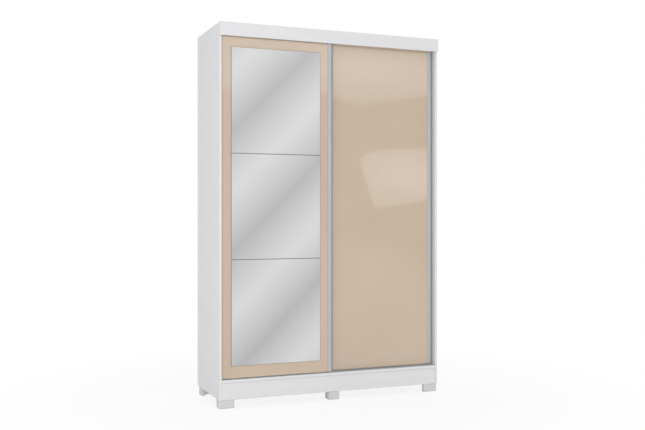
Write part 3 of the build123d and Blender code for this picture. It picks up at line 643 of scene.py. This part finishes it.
hardboard = bpy.data.materials.new("pressed_hardboard")
tree = fresh_tree(hardboard)
inner_side = looks_forward(tree)
clouds = grain(tree, even(28), 0.07)
fibres = grain(tree, even(520), 0.16)
sprayed_coat = grain(tree, even(300), 0.012)
raw = tinted(tree, RAW_FIBRE, maths(tree, "MULTIPLY", clouds["Tone"], fibres["Tone"]))
sprayed = tinted(tree, SPRAYED, sprayed_coat["Tone"])
raw_dullness = spread(tree, fibres["Relief"], RELIEF_NOISE, RAW_ROUGHNESS)
raised = {"Height": fibres["Relief"], "Distance": FIBRE_BUMP, "Strength": 1.0}
shader = put(
    tree,
    "ShaderNodeBsdfPrincipled",
    {
        "Base Color": mixed_colour(tree, inner_side, raw, sprayed),
        "Roughness": maths(tree, "MULTIPLY_ADD", inner_side, -SPRAY_SMOOTHING, raw_dullness),
        "Normal": put(tree, "ShaderNodeBump", raised).outputs[0],
    },
)
put(tree, "ShaderNodeOutputMaterial", {"Surface": shader.outputs[0]})
finishes["back_hardboard"] = hardboard
print(hardboard.name)

# %% [markdown]
# ## Dress the construction model
# The record of the construction model says which finish each node takes. Boards and profiles also need
# the direction that they run in: the sides, the partition and the handles stand upright, and the rest lie
# level.

# %% Dress the nodes
directional = {"white_board": white_boards, "satin_aluminium": drawn_profiles}
UPRIGHT = (
    "left_side_panel",
    "right_side_panel",
    "centre_partition",
    "left_door_handle",
    "right_door_handle",
)
for subpart in frame["record"]["subparts"]:
    name, slot = subpart["node"], subpart["material_slot"]
    if slot in directional:
        paint = directional[slot]["Z" if name in UPRIGHT else "X"]
    else:
        paint = finishes[slot]
    for holder in nodes[name].material_slots:
        holder.material = paint

# %% [markdown]
# ## Where the fasteners sit
# The construction model draws its screws as plain pins, because only their place and size matter there.
# All screws of a kind are one node, so the node's mesh falls apart into one island for each screw. A copy
# is welded first, because the model's triangles are loose. The box of an island gives the screw's place,
# and its longest side is the direction that the screw points in.

# %% Fastener places
WELD_DISTANCE = 1e-6


def island_boxes(node):
    """The lowest and highest corner of each separate lump in a node's mesh."""
    bm = bmesh.new()
    bm.from_mesh(nodes[node].data)
    bmesh.ops.remove_doubles(bm, verts=bm.verts, dist=WELD_DISTANCE)
    waiting = set(bm.verts)
    boxes = []
    while waiting:
        lump, edge_of_lump = set(), [next(iter(waiting))]
        while edge_of_lump:
            vert = edge_of_lump.pop()
            if vert not in lump:
                lump.add(vert)
                edge_of_lump += [edge.other_vert(vert) for edge in vert.link_edges]
        waiting -= lump
        corners = [[pick(vert.co[axis] for vert in lump) for axis in range(3)] for pick in (min, max)]
        boxes.append(tuple(Vector(corner) for corner in corners))
    bm.free()
    return sorted(boxes, key=lambda box: tuple(round(value, 5) for value in box[0]))


def outer_end(low, high, side):
    """The middle of the end that looks to that side of the longest axis, and the way it looks."""
    size = high - low
    axis = max(range(3), key=lambda index: size[index])
    way = Vector((0, 0, 0))
    way[axis] = side
    return (low + high) / 2 + way * (size[axis] / 2), way


FASTENED = ("bracket_screws", "track_screws", "carcass_screws", "back_nails")
lumps = {node: island_boxes(node) for node in FASTENED}
print({node: len(boxes) for node, boxes in lumps.items()})

# %% [markdown]
# ## Shape of a fastener
# A screw head is a disc with a cross pressed into it. The cross starts as twelve points, the rim as a
# circle, and triangle_fill closes the flat ring between them. Each loop is then pulled: extruded along its
# edges, scaled and moved. Pulling the cross inwards makes the tapered recess, and pulling the rim makes
# the rounded side, the underside, the shank and the point. A nail is the same without the cross.

# %% Shape of a fastener
# The crown and the shoulder are shares of the head's radius, the drops and the recess's depth are shares
# of its height, and the two lengths are shares of the shank. A taper is the share of its width that the
# recess or the point narrows to.
CROSS = [(1, 1), (1, 3.2), (-1, 3.2), (-1, 1), (-3.2, 1), (-3.2, -1)]
CROSS += [(-x, -y) for x, y in CROSS]
CROSS_UNITS_IN_HEAD = 6.5
RECESS_TAPER, RECESS_DEPTH = 0.62, 0.7
HEAD_SIDES = 24
CROWN, SHOULDER = 0.72, 0.91
CROWN_DROP, SHOULDER_DROP, RIM_DROP = 0.18, 0.32, 0.5
STRAIGHT_LENGTH, POINT_LENGTH = 0.8, 0.2
POINT_TAPER = 0.12


def pull(bm, loop, scale, drop):
    """Extrude a loop of edges, scale it about the axis, move it down, and return the new loop."""
    made = bmesh.ops.extrude_edge_only(bm, edges=loop)["geom"]
    verts = [item for item in made if isinstance(item, bmesh.types.BMVert)]
    ring = set(verts)
    bmesh.ops.scale(bm, vec=(scale, scale, 1), verts=verts)
    bmesh.ops.translate(bm, vec=(0, 0, -drop), verts=verts)
    edges = [item for item in made if isinstance(item, bmesh.types.BMEdge)]
    return [edge for edge in edges if ring.issuperset(edge.verts)]


def loop_of(bm, points):
    """A closed loop of edges through a few points."""
    verts = [bm.verts.new(point) for point in points]
    return [bm.edges.new((verts[index - 1], verts[index])) for index in range(len(verts))]


def stand_fastener(bm, seat, way, crossed, head_radius, head_height, shank_radius, length):
    """Add one fastener whose head stands on its seat and looks along a direction."""
    old = set(bm.verts)
    crown = bmesh.ops.create_circle(bm, segments=HEAD_SIDES, radius=CROWN * head_radius)["verts"]
    bmesh.ops.translate(bm, vec=(0, 0, head_height), verts=crown)
    rim = list(dict.fromkeys(edge for vert in crown for edge in vert.link_edges))
    if crossed:
        unit = head_radius / CROSS_UNITS_IN_HEAD
        mouth = loop_of(bm, [(x * unit, y * unit, head_height) for x, y in CROSS])
        bmesh.ops.triangle_fill(bm, edges=rim + mouth, use_beauty=True)
        recess_floor = pull(bm, mouth, RECESS_TAPER, RECESS_DEPTH * head_height)
        bmesh.ops.contextual_create(bm, geom=recess_floor)
    else:
        bmesh.ops.contextual_create(bm, geom=rim)
    loop = pull(bm, rim, SHOULDER / CROWN, CROWN_DROP * head_height)
    loop = pull(bm, loop, 1 / SHOULDER, SHOULDER_DROP * head_height)
    loop = pull(bm, loop, 1.0, RIM_DROP * head_height)
    loop = pull(bm, loop, shank_radius / head_radius, 0)
    loop = pull(bm, loop, 1.0, STRAIGHT_LENGTH * length)
    loop = pull(bm, loop, POINT_TAPER, POINT_LENGTH * length)
    bmesh.ops.contextual_create(bm, geom=loop)
    new = [vert for vert in bm.verts if vert not in old]
    turn = way.to_track_quat("Z", "Y").to_matrix()
    bmesh.ops.rotate(bm, cent=(0, 0, 0), matrix=turn, verts=new)
    bmesh.ops.translate(bm, vec=seat, verts=new)


def finish_fasteners(bm, name, node=None):
    """Close a mesh of fasteners, and let it stand for their node if they have one."""
    bmesh.ops.recalc_face_normals(bm, faces=bm.faces)
    piece = close_mesh(bm, name)
    piece.data.materials.append(zinc_steel)
    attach(piece, "carcass")
    if node:
        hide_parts(node)
    print(piece.name, len(piece.data.polygons), "faces")


print("a cross of", len(CROSS), "points in a head of", HEAD_SIDES, "sides")

# %% [markdown]
# ## Cross-head screws and nails
# Four kinds of fastener show: the screws of the cornice brackets, of the tracks and of the carcass, and the
# nails of the back. Each kind becomes one mesh that stands for its node. The heads of the track screws look
# into the wardrobe, so down at the top and up at the bottom. Those of the carcass screws look out of it.

# %% Cross-head screws and nails
SHORT_SCREW = {"head_radius": 0.0035, "head_height": 0.0022, "shank_radius": 0.00175, "length": 0.012}
LONG_SCREW = {"head_radius": 0.0040, "head_height": 0.0025, "shank_radius": 0.002, "length": 0.040}
WIRE_NAIL = {"head_radius": 0.0025, "head_height": 0.0008, "shank_radius": 0.0008, "length": 0.016}
FASTENERS = {
    "bracket_screws": ("bracket_cross_screws", SHORT_SCREW),
    "track_screws": ("track_cross_screws", SHORT_SCREW),
    "carcass_screws": ("carcass_cross_screws", LONG_SCREW),
    "back_nails": ("back_wire_nails", WIRE_NAIL),
}
half_height = cad_corners[1][2] / 2


def head_side(node, low):
    """Which way the heads of a node's fasteners look along their axis."""
    if node == "track_screws":
        return 1 if low.z < half_height else -1
    if node == "carcass_screws":
        return -1 if low.z < half_height else 1
    return 1


for node, (name, size) in FASTENERS.items():
    bm = bmesh.new()
    for low, high in lumps[node]:
        end, way = outer_end(low, high, head_side(node, low))
        seat = end - way * size["head_height"]
        stand_fastener(bm, seat, way, node != "back_nails", **size)
    finish_fasteners(bm, name, node)

# %% [markdown]
# ## Screws in the rail sockets
# Each socket of the hanging rails is held to its wall by two small screws, one above and one below the
# collar. The sockets look to the right and to the left in turn, from the left end of the wardrobe to the
# right. The screw heads stand on the flange, whose thickness is known from the construction model.

# %% Socket screws
FLANGE = 0.003
BRIM_MIDDLE = 0.004
SOCKET_SCREW = {"head_radius": 0.003, "head_height": 0.0018, "shank_radius": 0.0015, "length": 0.012}

bm = bmesh.new()
for count, (low, high) in enumerate(island_boxes("rail_sockets")):
    inward = 1 if count % 2 == 0 else -1
    wall = low.x if inward > 0 else high.x
    for height in (low.z + BRIM_MIDDLE, high.z - BRIM_MIDDLE):
        seat = Vector((wall + inward * FLANGE, (low.y + high.y) / 2, height))
        stand_fastener(bm, seat, Vector((inward, 0, 0)), True, **SOCKET_SCREW)
finish_fasteners(bm, "socket_cross_screws")
